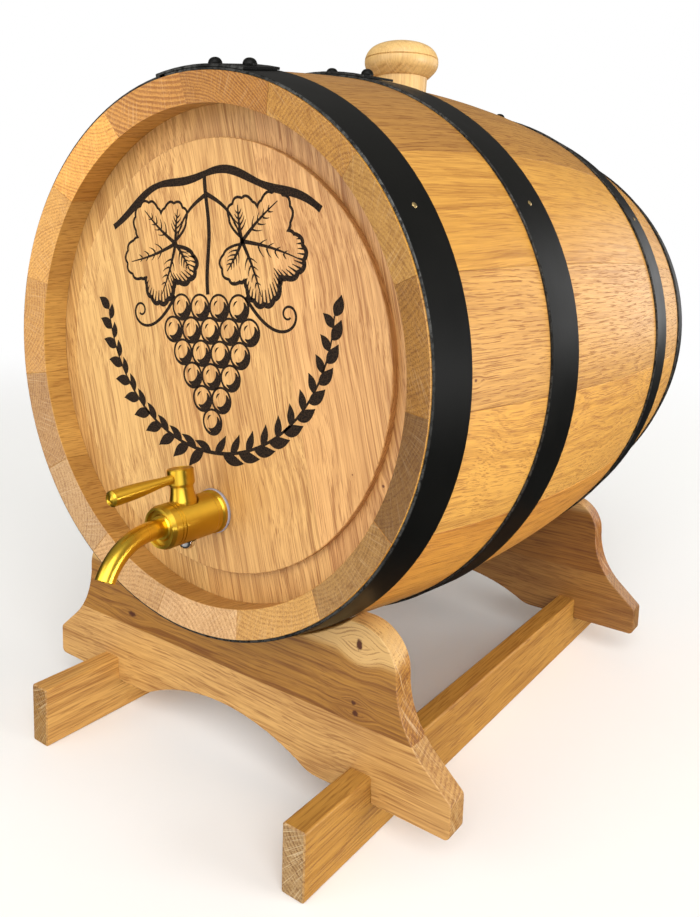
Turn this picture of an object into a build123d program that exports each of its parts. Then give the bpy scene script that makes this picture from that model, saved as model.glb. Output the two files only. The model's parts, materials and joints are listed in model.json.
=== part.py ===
from build123d import *
from math import cos, radians, sin, sqrt
import os

os.makedirs("parts", exist_ok=True)

# Small oak cask with a brass tap, lying in a cross-lapped oak stand.
# Millimetres, +Z up, cask axis along Y, tap end towards -Y.
# The origin is on the floor, under the middle of the whole object's bounding box.

# ---------------------------------------------------------------- driving dimensions

# Cask shell
cask_length = 402.0
end_radius = 150.0            # outside of the staves at the two ends
belly_radius = 169.0          # outside of the staves at mid-length
stave_thickness = 16.0
stave_count = 15
chime_slope = 4.6             # how far the end ring falls inwards towards the head
chime_inner_radius = 135.0
chime_root_radius = 137.5     # inside of the end wall where it meets the head
edge_break = 0.8
end_gap = 0.1                 # left free at the end of a blind hole

# Heads
head_recess = 22.5            # from the end of the staves to the outer rim of the head
panel_radius = 119.5
panel_rise = 5.0              # the raised centre panel of each head
head_thickness = 17.0
rim_thickness = 6.0           # edge of the head, held in the croze
croze_depth = 4.0
croze_slack = 0.2
board_lean = 11.5             # the head boards lean from the tap's upright, degrees
board_joints = (-37.0, 56.0)
dowel_radius = 3.0
dowel_length = 24.0
dowel_offset = 60.0
dowel_fit = 0.05

# Hoops
hoop_thickness = 1.4
hoop_gap = 0.15               # keeps the conical hoop off the bulging staves
head_hoop_span = (1.0, 27.0)  # distances from the end of the staves
quarter_hoop_span = (97.4, 127.3)
hoop_edge_break = 0.35
lap_start = -7.0              # angles from the top stave joint, degrees
lap_end = 16.7
lap_step = 1.0
inner_end = -4.5
rivet_angles = (4.8, 13.8)
rivet_head_radius = 3.7
rivet_top_radius = 2.6
rivet_height = 3.4
rivet_shank_radius = 2.0
rivet_fit = 0.05
tack_angles = (60.0, -60.0)
tack_head_radius = 1.5
tack_head_height = 0.5
tack_crown = (0.7, 0.55)      # shares of the head's radius and height, half way over its crown
tack_shank_radius = 0.7
tack_depth = 6.5              # how far the tacks reach into the staves
tack_fit = 0.05

# Bung, heights from the cask axis
bung_angle = 2.3              # from the top stave joint, degrees
bung_top = 206.3
bung_shoulder = 181.6
bung_tip = 149.5
bung_cap_radius = 25.8
bung_shank_top_radius = 18.2
bung_shank_tip_radius = 16.4
bung_clearance = 0.3
bung_groove_height = 193.8
bung_groove_depth = 0.7
bung_groove_half_width = 0.5
bung_rim_inset = 0.3          # upper and lower rims of the groove, in from the cap's radius
bung_lower_rim_inset = 0.2
bung_crown = ((0.42, 1.1), (0.78, 4.3))  # share of the cap's radius, drop from the top
bung_skirt = ((1.4, 6.0), (4.8, 2.2))    # inset from the cap's radius, height over the shoulder

# Tap, measured from the tap axis and along the cask axis
tap_drop = 85.0               # tap axis below the cask axis
tap_roll = 8.0                # the tap is screwed in with its stem leaning towards -X, degrees
tap_body_radius = 11.9
tap_flange_radius = 12.2
tap_neck_radius = 11.4
tap_nose_radius = 10.9
tap_body_length = 36.7        # flange face to shoulder of the nose
tap_nose_length = 2.4
tap_shank_radius = 8.0
tap_shank_hole_radius = 8.3
tap_shank_length = 39.0
tap_bore_radius = 4.6
seal_radius = 12.7
seal_thickness = 1.8
seal_rounding = 0.6
stem_setback = 22.35          # tap stem axis in front of the head panel
plug_radius = 6.2
plug_foot = -8.2              # lower end of the plug, below the tap axis
plug_fit = 0.06
stud_radius = 2.4             # threaded end of the plug that takes the domed nut
dome_seat = -11.3             # milled flat under the body
plug_seat = 9.0               # floor of the round pocket that the stem sits in
pocket_radius = 8.4
stem_base_radius = 7.5
stem_waist_radius = 6.3
stem_waist_height = 17.6
stem_flare = (0.3, 2.6)       # out from the waist and down from it, half way along the flare
stem_cap_radius = 7.3
stem_cap_height = 20.3
stem_top = 28.4
lever_height = 23.9
lever_droop = 2.5
lever_reach = 47.0            # stem axis to the end of the lever
lever_root_radius = 2.5
lever_end_radius = 4.2
spout_radius = 5.1
spout_bore_radius = 3.7
spout_straight = 5.9
spout_bend_radius = 35.0
spout_bend = 60.0
spout_socket = 8.0
collar_radius = 7.2
nose_recess = 2.2
nose_ring_radius = 9.6

# Stand
rail_width = 14.0
rail_height = 37.1
rail_offset = 101.5           # rail centre lines either side of the cask axis
rail_overhang = 54.6
rail_rounding = 1.5
cradle_thickness = 14.1
cradle_front = -173.5         # front faces of the two cradles, from mid-cask
cradle_rear = 113.8
cradle_bottom = 21.7
cradle_top = 118.6
cradle_half_width = 155.6
seam_height = 63.0            # glue line between the two boards of a cradle
lap_height = 29.4             # half-lap level between cradles and rails
arch_top = 39.0
arch_radius = 136.0
horn_radius = 24.3
horn_x = 97.5
flank_radius = 52.0
flank_sweep = 49.0
saddle_clearance = 0.3
arch_foot_radius = 22.0
wing_radius = 3.5
board_edge_break = 0.7

# Cask placement
axis_height = 246.1
cask_roll = 2.5               # the cask lies turned this much, its top towards -X, degrees

# ---------------------------------------------------------------- worked-out values

half_length = cask_length / 2
belly_rise = belly_radius - end_radius
bilge_radius = (half_length**2 + belly_rise**2) / (2 * belly_rise)
panel_face = half_length - head_recess + panel_rise
rim_face = half_length - head_recess
head_inner_face = panel_face - head_thickness
croze_radius = chime_root_radius + croze_depth
flange_face = panel_face + seal_thickness
nose_shoulder = flange_face + tap_body_length
nose_face = nose_shoulder + tap_nose_length
stem_station = panel_face + stem_setback
bend_start = nose_face + spout_straight
spout_reach = bend_start + (spout_bend_radius + spout_radius) * sin(radians(spout_bend))
mid_cask = (spout_reach - half_length) / 2

centre = Vector(0, mid_cask, axis_height)
roll = radians(cask_roll)
cask_up = Vector(-sin(roll), 0, cos(roll))
cask_side = Vector(cos(roll), 0, sin(roll))
cask_axis = Axis(centre, (0, 1, 0))
bung_turn = radians(bung_angle - cask_roll)
bung_up = Vector(sin(bung_turn), 0, cos(bung_turn))
bung_side = Vector(cos(bung_turn), 0, -sin(bung_turn))
bung_axis = Axis(centre, bung_up)
tap_turn = radians(tap_roll)
tap_up = Vector(-sin(tap_turn), 0, cos(tap_turn))
tap_side = Vector(cos(tap_turn), 0, sin(tap_turn))
tap_centre = centre - cask_up * tap_drop
tap_axis = Axis(tap_centre, (0, 1, 0))
stem_centre = tap_centre - Vector(0, stem_station, 0)
stem_axis = Axis(stem_centre, tap_up)


def shell_radius(station, depth=0.0):
    """Radius of the bulging shell at a distance along the axis from mid-cask."""
    curve = bilge_radius - depth
    return belly_radius - bilge_radius + sqrt(curve**2 - station**2)


def radial_plane(angle):
    """Plane through the cask axis: local X runs along the axis, local Y outwards.
    Angles start at the top stave joint and grow towards +X."""
    turn = radians(angle - cask_roll)
    return Plane(origin=centre, x_dir=(0, 1, 0), z_dir=(cos(turn), 0, -sin(turn)))


def shell_plane(station, angle, lift):
    """Plane standing on the shell: local Z is the shell's outward normal."""
    turn = radians(angle - cask_roll)
    outwards = Vector(sin(turn), 0, cos(turn))
    around = Vector(cos(turn), 0, -sin(turn))
    slope = station / bilge_radius
    normal = outwards * sqrt(1 - slope**2) + Vector(0, slope, 0)
    foot = centre + Vector(0, station, 0) + outwards * shell_radius(station)
    return Plane(origin=foot + normal * lift, x_dir=around, z_dir=normal)


def upright(seat):
    """Plane through a seat's own axis, with local Y along that axis."""
    return Plane(origin=seat.origin, x_dir=seat.x_dir, z_dir=seat.x_dir.cross(seat.z_dir))


def finish(piece, name):
    """Label a finished piece and write it as one STEP file."""
    piece.part.label = name
    export_step(piece.part, f"parts/{name}.step")


# ---------------------------------------------------------------- staves

stave_arc = 360.0 / stave_count
end_wall = half_length - chime_slope
lip = rim_face - rim_thickness
lip_radius = shell_radius(lip, stave_thickness)
bung_stave_numbers = (1, stave_count)
bung_hole_reach = 30.0        # the tapered hole's cut runs this far past the bung's tip, both ways
bung_taper = (bung_shank_top_radius - bung_shank_tip_radius) / (bung_shoulder - bung_tip)
bung_hole_radius = bung_shank_tip_radius + bung_clearance
bung_plane = Plane(origin=centre, x_dir=bung_side, z_dir=(0, -1, 0))

tack_stations = []
for near, far in (head_hoop_span, quarter_hoop_span):
    for end in (-1, 1):
        tack_stations.append(end * (half_length - (near + far) / 2))


def stave(number):
    """One stave: the full bulging profile, turned through its share of the circle."""
    start = (number - 1) * stave_arc
    with BuildPart() as board:
        with BuildSketch(radial_plane(start)):
            with BuildLine():
                ThreePointArc(
                    (-half_length, end_radius), (0, belly_radius), (half_length, end_radius)
                )
                Polyline(
                    (half_length, end_radius),
                    (end_wall, chime_inner_radius),
                    (rim_face, chime_root_radius),
                    (rim_face, croze_radius),
                    (lip, croze_radius),
                    (lip, lip_radius),
                )
                ThreePointArc(
                    (lip, lip_radius),
                    (0, belly_radius - stave_thickness),
                    (-lip, lip_radius),
                )
                Polyline(
                    (-lip, lip_radius),
                    (-lip, croze_radius),
                    (-rim_face, croze_radius),
                    (-rim_face, chime_root_radius),
                    (-end_wall, chime_inner_radius),
                    (-half_length, end_radius),
                )
            make_face()
        revolve(axis=cask_axis, revolution_arc=stave_arc)
        if number in bung_stave_numbers:
            with BuildSketch(bung_plane):
                with BuildLine():
                    Polyline(
                        (0, bung_tip - bung_hole_reach),
                        (bung_hole_radius - bung_hole_reach * bung_taper, bung_tip - bung_hole_reach),
                        (bung_hole_radius + bung_hole_reach * bung_taper, bung_tip + bung_hole_reach),
                        (0, bung_tip + bung_hole_reach),
                        close=True,
                    )
                make_face()
            revolve(axis=bung_axis, mode=Mode.SUBTRACT)
        for angle in tack_angles:
            if start < angle % 360 < start + stave_arc:
                for station in tack_stations:
                    with BuildSketch(shell_plane(station, angle, hoop_gap)):
                        Circle(tack_shank_radius + tack_fit)
                    extrude(amount=-tack_depth - hoop_gap - tack_fit, mode=Mode.SUBTRACT)
    return board


for number in range(1, stave_count + 1):
    finish(stave(number), f"stave_{number:02d}")

# ---------------------------------------------------------------- heads

lean = radians(board_lean)
across_boards = cask_side * cos(lean) + cask_up * sin(lean)
along_boards = cask_up * cos(lean) - cask_side * sin(lean)


def dowel_plane(end, joint, offset):
    """Plane centred on a dowel, with local Z along it."""
    depth = end * (rim_face + lip) / 2
    return Plane(
        origin=centre + Vector(0, depth, 0) + across_boards * joint + along_boards * offset,
        x_dir=(0, 1, 0),
        z_dir=across_boards,
    )


def head_board(end, index):
    """One board of a head: a turned disc cut back to the board's own strip."""
    with BuildPart() as board:
        with BuildSketch(radial_plane(0)):
            with BuildLine():
                Polyline(
                    (end * head_inner_face, 0),
                    (end * panel_face, 0),
                    (end * panel_face, panel_radius - edge_break / 2),
                    (end * (panel_face - edge_break / 2), panel_radius),
                    (end * rim_face, panel_radius),
                    (end * rim_face, croze_radius - croze_slack),
                    (end * lip, croze_radius - croze_slack),
                    (end * lip, lip_radius - croze_slack),
                    (end * head_inner_face, lip_radius - 2 * rim_thickness),
                    close=True,
                )
            make_face()
        revolve(axis=cask_axis)
        if index > 0:
            edge = Plane(origin=centre + across_boards * board_joints[index - 1],
                         x_dir=(0, 1, 0), z_dir=across_boards)
            split(bisect_by=edge, keep=Keep.TOP)
        if index < len(board_joints):
            edge = Plane(origin=centre + across_boards * board_joints[index],
                         x_dir=(0, 1, 0), z_dir=across_boards)
            split(bisect_by=edge, keep=Keep.BOTTOM)
        for joint in board_joints:
            for offset in (-dowel_offset, dowel_offset):
                with BuildSketch(dowel_plane(end, joint, offset)):
                    Circle(dowel_radius + dowel_fit)
                extrude(amount=dowel_length / 2 + dowel_fit, both=True, mode=Mode.SUBTRACT)
        if end < 0 and index == 1:
            with BuildSketch(Plane(origin=tap_centre, x_dir=(1, 0, 0), z_dir=(0, -1, 0))):
                Circle(tap_shank_hole_radius)
            extrude(amount=nose_face, mode=Mode.SUBTRACT)
    return board


for end, name in ((-1, "front"), (1, "rear")):
    for index in range(len(board_joints) + 1):
        finish(head_board(end, index), f"{name}_head_board_{index + 1}")
    with BuildPart() as dowels:
        for joint in board_joints:
            for offset in (-dowel_offset, dowel_offset):
                with BuildSketch(dowel_plane(end, joint, offset)):
                    Circle(dowel_radius)
                extrude(amount=dowel_length / 2, both=True)
    finish(dowels, f"{name}_head_dowels")

# ---------------------------------------------------------------- hoops, rivets and tacks

hoops = {
    "front_head_hoop": (-1, head_hoop_span),
    "front_quarter_hoop": (-1, quarter_hoop_span),
    "rear_quarter_hoop": (1, quarter_hoop_span),
    "rear_head_hoop": (1, head_hoop_span),
}
lap_lift = hoop_thickness + hoop_gap


def strip_profile(end, span, low, high):
    """Section of the steel strip between two heights over the shell."""
    near, far = (end * (half_length - distance) for distance in span)
    step = hoop_edge_break if near < far else -hoop_edge_break
    Polyline(
        (near, shell_radius(near) + low),
        (near, shell_radius(near) + high - hoop_edge_break),
        (near + step, shell_radius(near + step) + high),
        (far - step, shell_radius(far - step) + high),
        (far, shell_radius(far) + high - hoop_edge_break),
        (far, shell_radius(far) + low),
        close=True,
    )


def hoop(end, span):
    """A riveted hoop: the strip goes once round and its end laps over its start."""
    layers = (
        (inner_end, 360.0 + lap_start + lap_step - inner_end, hoop_gap, lap_lift),
        (lap_start, lap_step, hoop_gap, 2 * lap_lift),
        (lap_start, lap_end - lap_start, lap_lift + hoop_gap, 2 * lap_lift),
    )
    middle = end * (half_length - sum(span) / 2)
    with BuildPart() as band:
        for start, arc, low, high in layers:
            with BuildSketch(radial_plane(start)):
                with BuildLine():
                    strip_profile(end, span, low, high)
                make_face()
            revolve(axis=cask_axis, revolution_arc=arc)
        for angle in rivet_angles:
            with BuildSketch(shell_plane(middle, angle, 0)):
                Circle(rivet_shank_radius + rivet_fit)
            extrude(amount=4 * lap_lift, mode=Mode.SUBTRACT)
        for angle in tack_angles:
            with BuildSketch(shell_plane(middle, angle, 0)):
                Circle(tack_shank_radius + tack_fit)
            extrude(amount=4 * lap_lift, mode=Mode.SUBTRACT)
    return band


for name, (end, span) in hoops.items():
    finish(hoop(end, span), name)

with BuildPart() as rivets:
    for end, span in hoops.values():
        middle = end * (half_length - sum(span) / 2)
        for angle in rivet_angles:
            seat = shell_plane(middle, angle, 2 * lap_lift)
            with BuildSketch(upright(seat)):
                with BuildLine():
                    Polyline(
                        (0, rivet_height),
                        (0, -2 * lap_lift),
                        (rivet_shank_radius, -2 * lap_lift),
                        (rivet_shank_radius, 0),
                        (rivet_head_radius, 0),
                        (rivet_head_radius, edge_break),
                    )
                    Spline(
                        (rivet_head_radius, edge_break),
                        (rivet_top_radius, rivet_height - edge_break),
                        (0, rivet_height),
                        tangents=[(-0.3, 1), (-1, 0)],
                    )
                make_face()
            revolve(axis=Axis(seat.origin, seat.z_dir))
finish(rivets, "hoop_rivets")

with BuildPart() as tacks:
    for end, span in hoops.values():
        middle = end * (half_length - sum(span) / 2)
        for angle in tack_angles:
            seat = shell_plane(middle, angle, lap_lift)
            with BuildSketch(upright(seat)):
                with BuildLine():
                    ThreePointArc(
                        (0, tack_head_height),
                        (tack_head_radius * tack_crown[0], tack_head_height * tack_crown[1]),
                        (tack_head_radius, 0),
                    )
                    Polyline(
                        (tack_head_radius, 0),
                        (tack_shank_radius, 0),
                        (tack_shank_radius, -lap_lift - tack_depth),
                        (0, -lap_lift - tack_depth),
                        (0, tack_head_height),
                    )
                make_face()
            revolve(axis=Axis(seat.origin, seat.z_dir))
finish(tacks, "hoop_tacks")

# ---------------------------------------------------------------- bung

upper_rim = bung_cap_radius - bung_rim_inset
lower_rim = bung_cap_radius - bung_lower_rim_inset
crown_points = [(bung_cap_radius * share, bung_top - drop) for share, drop in bung_crown]
skirt_points = [(bung_cap_radius - inset, bung_shoulder + rise) for inset, rise in bung_skirt]

with BuildPart() as bung:
    with BuildSketch(bung_plane):
        with BuildLine():
            Spline(
                (0, bung_top),
                *crown_points,
                (upper_rim, bung_groove_height + bung_groove_half_width),
                tangents=[(1, 0), (0.25, -1)],
            )
            Polyline(
                (upper_rim, bung_groove_height + bung_groove_half_width),
                (upper_rim - bung_groove_depth, bung_groove_height),
                (lower_rim, bung_groove_height - bung_groove_half_width),
            )
            Spline(
                (lower_rim, bung_groove_height - bung_groove_half_width),
                *skirt_points,
                (bung_shank_top_radius, bung_shoulder),
                tangents=[(0.08, -1), (-1, -0.45)],
            )
            Polyline(
                (bung_shank_top_radius, bung_shoulder),
                (bung_shank_tip_radius, bung_tip),
                (0, bung_tip),
                (0, bung_top),
            )
        make_face()
    revolve(axis=bung_axis)
finish(bung, "bung")

# ---------------------------------------------------------------- tap

# In these planes local X runs along the cask axis and local Y up the tap's stem.
tap_plane = Plane(origin=tap_centre, x_dir=(0, 1, 0), z_dir=tap_side)
stem_plane = Plane(origin=stem_centre, x_dir=(0, 1, 0), z_dir=tap_side)
face_plane = Plane(origin=stem_centre, x_dir=tap_side, z_dir=tap_up)
shank_end = flange_face - tap_shank_length
groove_depth = 0.45
groove_width = 0.7
groove_insets = (4.4, 6.6)
flange_width = 1.8
neck_width = 4.0
shoulder_width = 1.0
dome_flat_radius = 5.6

with BuildPart() as tap_body:
    with BuildSketch(tap_plane):
        with BuildLine():
            Polyline(
                (-shank_end, 0),
                (-shank_end, tap_shank_radius),
                (-flange_face, tap_shank_radius),
                (-flange_face, tap_flange_radius),
                (-flange_face - flange_width, tap_flange_radius),
                (-flange_face - flange_width - shoulder_width, tap_neck_radius),
                (-flange_face - flange_width - neck_width, tap_neck_radius),
                (-flange_face - flange_width - neck_width - shoulder_width, tap_body_radius),
                (-nose_shoulder, tap_body_radius),
                (-nose_face, tap_nose_radius),
                (-nose_face, nose_ring_radius),
                (-nose_face + nose_recess, nose_ring_radius),
                (-nose_face + nose_recess, 0),
                close=True,
            )
        make_face()
        for inset in groove_insets:
            with Locations((-nose_shoulder + inset, tap_body_radius)):
                Rectangle(groove_width, 2 * groove_depth, mode=Mode.SUBTRACT)
    revolve(axis=tap_axis)
    with BuildSketch(face_plane.offset(plug_seat)):
        Circle(pocket_radius)
    extrude(amount=tap_body_radius, mode=Mode.SUBTRACT)
    with BuildSketch(face_plane.offset(plug_foot - plug_fit)):
        Circle(plug_radius + plug_fit)
    extrude(amount=pocket_radius + tap_body_radius, mode=Mode.SUBTRACT)
    with BuildSketch(face_plane):
        Circle(stud_radius + plug_fit)
    extrude(amount=-tap_flange_radius, mode=Mode.SUBTRACT)
    with BuildSketch(face_plane.offset(dome_seat)):
        Circle(dome_flat_radius)
    extrude(amount=-tap_flange_radius, mode=Mode.SUBTRACT)
    with BuildSketch(tap_plane):
        with BuildLine():
            Polyline(
                (-shank_end, 0),
                (-shank_end, tap_bore_radius),
                (-nose_face + nose_recess + spout_socket, tap_bore_radius),
                (-nose_face + nose_recess + spout_socket, spout_radius + plug_fit),
                (-nose_face + nose_recess, spout_radius + plug_fit),
                (-nose_face + nose_recess, 0),
                close=True,
            )
        make_face()
    revolve(axis=tap_axis, mode=Mode.SUBTRACT)
finish(tap_body, "tap_body")

bend_centre_x = -bend_start
bend_turn = radians(spout_bend)
spout_end = (
    bend_centre_x - spout_bend_radius * sin(bend_turn),
    -spout_bend_radius * (1 - cos(bend_turn)),
)
spout_root = -nose_face + nose_recess + spout_socket
collar_inset = 0.9
collar_bevel = 0.8
collar_overlap = 0.5          # the collar and the tube are one piece

with BuildPart() as tap_spout:
    with BuildLine() as centre_line:
        root_point = tap_plane.from_local_coords((spout_root, 0, 0))
        bend_point = tap_plane.from_local_coords((bend_centre_x, 0, 0))
        Line(root_point, bend_point)
        middle_turn = bend_turn / 2
        half_way = tap_plane.from_local_coords((
            bend_centre_x - spout_bend_radius * sin(middle_turn),
            -spout_bend_radius * (1 - cos(middle_turn)),
            0,
        ))
        ThreePointArc(bend_point, half_way, tap_plane.from_local_coords((*spout_end, 0)))
    with BuildSketch(Plane(origin=root_point, x_dir=tap_side, z_dir=(0, -1, 0))):
        Circle(spout_radius)
        Circle(spout_bore_radius, mode=Mode.SUBTRACT)
    sweep(path=centre_line.line)
    with BuildSketch(tap_plane):
        with BuildLine():
            Polyline(
                (-nose_face + nose_recess, spout_radius - collar_overlap),
                (-nose_face + nose_recess, collar_radius),
                (-nose_face + collar_inset + collar_bevel, collar_radius),
                (-nose_face + collar_inset, collar_radius - collar_bevel),
                (-nose_face + collar_inset, spout_radius - collar_overlap),
                close=True,
            )
        make_face()
    revolve(axis=tap_axis)
finish(tap_spout, "tap_spout")

with BuildPart() as tap_front_seal:
    with BuildSketch(Plane(origin=tap_centre - Vector(0, panel_face, 0), x_dir=(1, 0, 0),
                           z_dir=(0, -1, 0))):
        Circle(seal_radius)
        Circle(tap_shank_radius + plug_fit, mode=Mode.SUBTRACT)
    extrude(amount=seal_thickness)
    outer_edges = tap_front_seal.edges().filter_by(GeomType.CIRCLE).sort_by(SortBy.RADIUS)[-2:]
    fillet(outer_edges, seal_rounding)
finish(tap_front_seal, "tap_front_seal")

with BuildPart() as tap_rear_seal:
    with BuildSketch(Plane(origin=tap_centre - Vector(0, head_inner_face, 0), x_dir=(1, 0, 0),
                           z_dir=(0, 1, 0))):
        Circle(seal_radius)
        Circle(tap_shank_radius + plug_fit, mode=Mode.SUBTRACT)
    extrude(amount=seal_thickness)
finish(tap_rear_seal, "tap_rear_seal")

nut_flat_radius = 12.0
nut_thickness = 6.0

with BuildPart() as tap_nut:
    with BuildSketch(Plane(origin=tap_centre - Vector(0, head_inner_face - seal_thickness, 0),
                           x_dir=(1, 0, 0), z_dir=(0, 1, 0))):
        RegularPolygon(nut_flat_radius, 6, major_radius=False)
        Circle(tap_shank_radius + plug_fit, mode=Mode.SUBTRACT)
    extrude(amount=nut_thickness)
finish(tap_nut, "tap_nut")

lever_tenon_radius = 1.9
lever_tenon_length = 4.0
lever_socket = stem_cap_radius - lever_tenon_length
stem_foot_height = 1.8
droop = radians(lever_droop)
lever_line = stem_centre + tap_up * lever_height
lever_out = Vector(0, -cos(droop), 0) - tap_up * sin(droop)
stud_reach = 2.0
cap_bevel = 0.5

with BuildPart() as tap_plug:
    with BuildSketch(stem_plane):
        with BuildLine():
            Polyline(
                (0, dome_seat - stud_reach),
                (stud_radius, dome_seat - stud_reach),
                (stud_radius, plug_foot),
                (plug_radius, plug_foot),
                (plug_radius, plug_seat + plug_fit),
                (stem_base_radius, plug_seat + plug_fit),
                (stem_base_radius, plug_seat + stem_foot_height),
            )
            ThreePointArc(
                (stem_base_radius, plug_seat + stem_foot_height),
                (stem_waist_radius + stem_flare[0], stem_waist_height - stem_flare[1]),
                (stem_waist_radius, stem_waist_height),
            )
            Polyline(
                (stem_waist_radius, stem_waist_height),
                (stem_waist_radius, stem_waist_height + shoulder_width),
                (stem_cap_radius, stem_cap_height),
                (stem_cap_radius, stem_top - cap_bevel),
                (stem_cap_radius - cap_bevel, stem_top),
                (0, stem_top),
                (0, dome_seat - stud_reach),
            )
        make_face()
    revolve(axis=stem_axis)
    with BuildSketch(Plane(origin=stem_centre, x_dir=tap_side, z_dir=(0, 1, 0))):
        Circle(tap_bore_radius)
    extrude(amount=2 * plug_radius, both=True, mode=Mode.SUBTRACT)
    with BuildSketch(Plane(origin=lever_line, x_dir=tap_side,
                           z_dir=lever_out).offset(lever_socket)):
        Circle(lever_tenon_radius + dowel_fit)
    extrude(amount=2 * lever_tenon_length, mode=Mode.SUBTRACT)
finish(tap_plug, "tap_plug")

grip_length = 6.0             # straight part at the lever's thick end
waist_length = 2.0            # straight part beside the stem's cap
swell_length = 12.0           # from the waist to where the lever starts to thicken
swell_start = 0.8
tip_bevel = 1.0
tip_ring = 1.6
dimple_ring = 1.9             # the turned dimple in the lever's end, in from its radius
dimple_depth = 0.5
lever_tip = -lever_reach
lever_root = -stem_cap_radius - end_gap
lever_grip = -lever_reach + grip_length
lever_waist = lever_root - waist_length
tenon_end = -lever_socket - end_gap

with BuildPart() as tap_lever:
    with BuildSketch(Plane(origin=lever_line, x_dir=-lever_out, z_dir=tap_side)):
        with BuildLine():
            Polyline(
                (tenon_end, 0),
                (tenon_end, lever_tenon_radius),
                (lever_root, lever_tenon_radius),
                (lever_root, lever_root_radius),
                (lever_waist, lever_root_radius),
            )
            Spline(
                (lever_waist, lever_root_radius),
                (lever_waist - swell_length, lever_root_radius + swell_start),
                (lever_grip, lever_end_radius),
                tangents=[(-1, 0), (-1, 0)],
            )
            Polyline(
                (lever_grip, lever_end_radius),
                (lever_tip + tip_bevel, lever_end_radius),
                (lever_tip, lever_end_radius - tip_bevel),
                (lever_tip, lever_end_radius - tip_ring),
                (lever_tip + dimple_depth, lever_end_radius - dimple_ring),
                (lever_tip, 0),
                (tenon_end, 0),
            )
        make_face()
    revolve(axis=Axis(lever_line, lever_out))
finish(tap_lever, "tap_lever")

dome_radius = 4.1
dome_height = 4.3
dome_bore_depth = stud_reach + end_gap
dome_top = dome_seat - plug_fit
dome_lip = 0.9                # the turned rim at the domed nut's seat
dome_lip_height = 0.6
dome_wall = 1.4
dome_shoulder = (0.75, 0.8)   # share of the dome's radius, height over its tip

with BuildPart() as tap_domed_nut:
    with BuildSketch(stem_plane):
        with BuildLine():
            Polyline(
                (0, dome_top - dome_bore_depth),
                (stud_radius + dowel_fit, dome_top - dome_bore_depth),
                (stud_radius + dowel_fit, dome_top),
                (dome_radius + dome_lip, dome_top),
                (dome_radius + dome_lip, dome_top - dome_lip_height),
                (dome_radius, dome_top - dome_lip_height),
                (dome_radius, dome_top - dome_wall),
            )
            Spline(
                (dome_radius, dome_top - dome_wall),
                (dome_radius * dome_shoulder[0], dome_top - dome_height + dome_shoulder[1]),
                (0, dome_top - dome_height),
                tangents=[(0, -1), (-1, 0)],
            )
            Line((0, dome_top - dome_height), (0, dome_top - dome_bore_depth))
        make_face()
    revolve(axis=stem_axis)
finish(tap_domed_nut, "tap_domed_nut")

# ---------------------------------------------------------------- stand

cradles = {
    "front": (cradle_front, shell_radius(cradle_front + cradle_thickness)),
    "rear": (cradle_rear, shell_radius(cradle_rear)),
}
flank_heading = (sin(radians(flank_sweep)), -cos(radians(flank_sweep)))
horn_height = cradle_top - horn_radius
flank_top = (horn_x + horn_radius, horn_height)
foot_x = flank_top[0] + flank_radius * (1 - cos(radians(flank_sweep)))
foot_z = flank_top[1] - flank_radius * sin(radians(flank_sweep))
wing_height = foot_z + (cradle_half_width - foot_x) * flank_heading[1] / flank_heading[0]
arch_half = sqrt(arch_radius**2 - (arch_radius - arch_top + cradle_bottom) ** 2)


def cradle_board(face, saddle, upper):
    """Half of a cradle: the boards above or below its glue line."""
    front = Plane.XZ.offset(-(mid_cask + face))
    with BuildPart() as board:
        with BuildSketch(front) as outline:
            with BuildLine():
                ThreePointArc(
                    (0, arch_top),
                    (arch_half / 2, arch_top - arch_radius
                     + sqrt(arch_radius**2 - arch_half**2 / 4)),
                    (arch_half, cradle_bottom),
                )
                Polyline(
                    (arch_half, cradle_bottom),
                    (rail_offset - rail_width / 2, cradle_bottom),
                    (rail_offset - rail_width / 2, lap_height),
                    (rail_offset + rail_width / 2, lap_height),
                    (rail_offset + rail_width / 2, cradle_bottom),
                    (cradle_half_width, cradle_bottom),
                    (cradle_half_width, wing_height),
                    (foot_x, foot_z),
                )
                JernArc((foot_x, foot_z), (-flank_heading[0], -flank_heading[1]),
                        flank_radius, -flank_sweep)
                JernArc(flank_top, (0, 1), horn_radius, 90)
                Line((horn_x, cradle_top), (0, cradle_top))
                Line((0, cradle_top), (0, arch_top))
            make_face()
            corners = outline.vertices().sort_by(Axis.X)
            fillet(corners[-2:], wing_radius)
            arch_foot = outline.vertices().sort_by_distance((arch_half, cradle_bottom))[0]
            fillet(arch_foot, arch_foot_radius)
            mirror(about=Plane.YZ)
            with Locations((0, axis_height)):
                Circle(saddle + saddle_clearance, mode=Mode.SUBTRACT)
        extrude(amount=-cradle_thickness)
        fillet(board.faces().filter_by(Axis.Y).edges(), board_edge_break)
        cut = Plane.XY.offset(seam_height)
        split(bisect_by=cut, keep=Keep.TOP if upper else Keep.BOTTOM)
    return board


for name, (face, saddle) in cradles.items():
    finish(cradle_board(face, saddle, True), f"{name}_cradle_upper")
    finish(cradle_board(face, saddle, False), f"{name}_cradle_lower")

lap_spare = 1.0               # the lap's cut is wider than the rail, to clear both its sides
rail_front = cradle_front - rail_overhang
rail_back = cradle_rear + cradle_thickness + rail_overhang

for side, name in ((-1, "left_rail"), (1, "right_rail")):
    with BuildPart() as rail:
        with BuildSketch(Plane.XZ.offset(-(mid_cask + rail_front))):
            with Locations((side * rail_offset, rail_height / 2)):
                RectangleRounded(rail_width, rail_height, rail_rounding)
        extrude(amount=rail_front - rail_back)
        chamfer(rail.faces().filter_by(Axis.Y).edges(), board_edge_break)
        for face, saddle in cradles.values():
            with BuildSketch(Plane.XZ.offset(-(mid_cask + face))):
                with Locations((side * rail_offset, lap_height + rail_height / 2)):
                    Rectangle(rail_width + lap_spare, rail_height)
            extrude(amount=-cradle_thickness, mode=Mode.SUBTRACT)
    finish(rail, name)
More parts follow.
